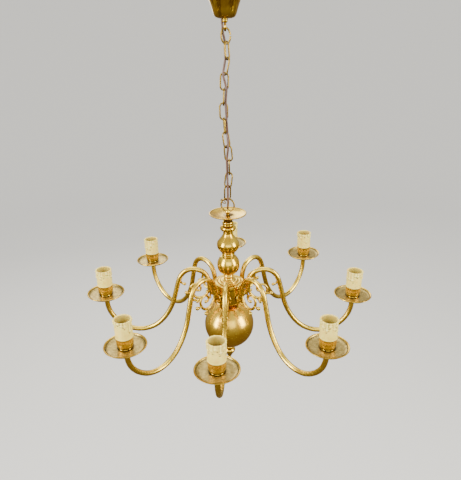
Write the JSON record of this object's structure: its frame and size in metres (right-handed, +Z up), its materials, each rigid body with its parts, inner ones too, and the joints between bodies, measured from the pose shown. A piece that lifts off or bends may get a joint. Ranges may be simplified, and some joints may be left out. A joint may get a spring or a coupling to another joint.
{
  "type": "multi arm chandelier",
  "caption": "Hanging brass candle chandelier with swept arms, scrolls, drip pans and cream sleeves round a turned column and globe, hung from a canopy by a link chain and threaded lead.",
  "frame": {"origin": "centre of the ceiling strap's top face, where it lies against the ceiling, on the column's own axis", "axes": "+Z up towards the ceiling, -Y towards the viewer, +X to the viewer's right"},
  "size_m": [0.5823, 0.5815, 0.7666],
  "materials": {
    "polished_brass": "polished and lacquered",
    "satin_brass": "satin, lacquered",
    "aged_brass": "dulled, pale",
    "chain_brass": "brass plated wire, worn",
    "candle_card": "cream with hardened drips",
    "holder_plastic": "moulded",
    "lead_plastic": "smooth flexible sheath",
    "zinc_steel": "zinc plated"
  },
  "bodies": {
    "ceiling_set": {"crossbar": "zinc_steel", "canopy": "polished_brass", "canopy_loop": "polished_brass", "flex": "lead_plastic"},
    "top_link": {"top_link": "chain_brass"},
    "link_01": {"link_01": "chain_brass"},
    "link_02": {"link_02": "chain_brass"},
    "link_03": {"link_03": "chain_brass"},
    "link_04": {"link_04": "chain_brass"},
    "link_05": {"link_05": "chain_brass"},
    "link_06": {"link_06": "chain_brass"},
    "link_07": {"link_07": "chain_brass"},
    "link_08": {"link_08": "chain_brass"},
    "link_09": {"link_09": "chain_brass"},
    "link_10": {"link_10": "chain_brass"},
    "link_11": {"link_11": "chain_brass"},
    "ring": {"ring": "chain_brass"},
    "lamp": {"eye": "polished_brass", "top_disc": "satin_brass", "knop": "polished_brass", "vase": "polished_brass", "column_ball": "polished_brass", "arm_plate": "polished_brass", "hub": "polished_brass", "globe": "satin_brass", "drop_finial": "polished_brass", "rod": "zinc_steel", "arm_1": "polished_brass", "pan_1": "aged_brass", "lampholder_1": "holder_plastic", "arm_2": "polished_brass", "pan_2": "aged_brass", "lampholder_2": "holder_plastic", "arm_3": "polished_brass", "pan_3": "aged_brass", "lampholder_3": "holder_plastic", "arm_4": "polished_brass", "pan_4": "aged_brass", "lampholder_4": "holder_plastic", "arm_5": "polished_brass", "pan_5": "aged_brass", "lampholder_5": "holder_plastic", "arm_6": "polished_brass", "pan_6": "aged_brass", "lampholder_6": "holder_plastic", "arm_7": "polished_brass", "pan_7": "aged_brass", "lampholder_7": "holder_plastic", "arm_8": "polished_brass", "pan_8": "aged_brass", "lampholder_8": "holder_plastic"},
    "keeper": {"keeper_ring": "chain_brass"},
    "sleeve_1": {"sleeve_1": "candle_card"},
    "sleeve_2": {"sleeve_2": "candle_card"},
    "sleeve_3": {"sleeve_3": "candle_card"},
    "sleeve_4": {"sleeve_4": "candle_card"},
    "sleeve_5": {"sleeve_5": "candle_card"},
    "sleeve_6": {"sleeve_6": "candle_card"},
    "sleeve_7": {"sleeve_7": "candle_card"},
    "sleeve_8": {"sleeve_8": "candle_card"}
  },
  "joints": [
    {"name": "top_link_swing", "type": "hinge", "parent": "ceiling_set", "child": "top_link", "pos_m": [0, 0, -0.1029], "axis": [0, 1, 0], "range_deg": [-6, 6], "deforming": ["flex"]},
    {"name": "link_01_swing", "type": "hinge", "parent": "top_link", "child": "link_01", "pos_m": [0.0015, 0, -0.12375], "axis": [0.9982, 0, 0.0605], "range_deg": [-6, 6]},
    {"name": "link_02_swing", "type": "hinge", "parent": "link_01", "child": "link_02", "pos_m": [0.0038, 0, -0.14872], "axis": [0.4668, 0.8836, 0.0375], "range_deg": [-6, 6]},
    {"name": "link_03_swing", "type": "hinge", "parent": "link_02", "child": "link_03", "pos_m": [-0.0022, 0, -0.17325], "axis": [0.51, -0.8533, -0.1088], "range_deg": [-6, 6]},
    {"name": "link_04_swing", "type": "hinge", "parent": "link_03", "child": "link_04", "pos_m": [-0.0033, 0, -0.19839], "axis": [0.9993, 0, -0.0382], "range_deg": [-6, 6]},
    {"name": "link_05_swing", "type": "hinge", "parent": "link_04", "child": "link_05", "pos_m": [-0.0048, 0, -0.22351], "axis": [0, 1, 0], "range_deg": [-6, 6]},
    {"name": "link_06_swing", "type": "hinge", "parent": "link_05", "child": "link_06", "pos_m": [-0.0044, 0, -0.24867], "axis": [0.9999, 0, 0.0139], "range_deg": [-6, 6]},
    {"name": "link_07_swing", "type": "hinge", "parent": "link_06", "child": "link_07", "pos_m": [-0.0028, 0, -0.27378], "axis": [-0.1387, 0.9903, -0.0077], "range_deg": [-6, 6]},
    {"name": "link_08_swing", "type": "hinge", "parent": "link_07", "child": "link_08", "pos_m": [0.0012, 0, -0.29866], "axis": [0.7555, 0.6465, 0.1061], "range_deg": [-6, 6]},
    {"name": "link_09_swing", "type": "hinge", "parent": "link_08", "child": "link_09", "pos_m": [0.0038, 0, -0.3237], "axis": [0.9702, -0.2258, 0.0881], "range_deg": [-6, 6]},
    {"name": "link_10_swing", "type": "hinge", "parent": "link_09", "child": "link_10", "pos_m": [0.0042, 0, -0.34886], "axis": [0, 1, 0], "range_deg": [-6, 6]},
    {"name": "link_11_swing", "type": "hinge", "parent": "link_10", "child": "link_11", "pos_m": [0.0004, 0, -0.37377], "axis": [0.9042, -0.4097, -0.1205], "range_deg": [-6, 6]},
    {"name": "ring_swing", "type": "hinge", "parent": "link_11", "child": "ring", "pos_m": [0, 0, -0.39893], "axis": [0.8089, 0.5878, -0.0113], "range_deg": [-6, 6]},
    {"name": "lamp_swing", "type": "hinge", "parent": "ring", "child": "lamp", "pos_m": [0, 0, -0.42203], "axis": [0.9659, -0.2588, 0], "range_deg": [-8, 8]},
    {"name": "keeper_swing", "type": "hinge", "parent": "ring", "child": "keeper", "pos_m": [-0.01034, 0.00277, -0.40056], "axis": [-0.5813, 0.1558, -0.7986], "range_deg": [-15, 15]},
    {"name": "sleeve_1_lift", "type": "slide", "parent": "lamp", "child": "sleeve_1", "axis": [0.0005, 0.0066, 1], "range_m": [0, 0.06]},
    {"name": "sleeve_2_lift", "type": "slide", "parent": "lamp", "child": "sleeve_2", "axis": [-0.0059, -0.006, 1], "range_m": [0, 0.06]},
    {"name": "sleeve_3_lift", "type": "slide", "parent": "lamp", "child": "sleeve_3", "axis": [0.0058, 0, 1], "range_m": [0, 0.06]},
    {"name": "sleeve_4_lift", "type": "slide", "parent": "lamp", "child": "sleeve_4", "axis": [-0.0179, 0.0171, 0.9997], "range_m": [0, 0.06]},
    {"name": "sleeve_5_lift", "type": "slide", "parent": "lamp", "child": "sleeve_5", "axis": [-0.0004, -0.0133, 0.9999], "range_m": [0, 0.06]},
    {"name": "sleeve_6_lift", "type": "slide", "parent": "lamp", "child": "sleeve_6", "axis": [-0.0173, -0.0172, 0.9997], "range_m": [0, 0.06]},
    {"name": "sleeve_7_lift", "type": "slide", "parent": "lamp", "child": "sleeve_7", "axis": [0.0129, -0.0005, 0.9999], "range_m": [0, 0.06]},
    {"name": "sleeve_8_lift", "type": "slide", "parent": "lamp", "child": "sleeve_8", "axis": [0.0023, -0.0026, 1], "range_m": [0, 0.06]}
  ]
}
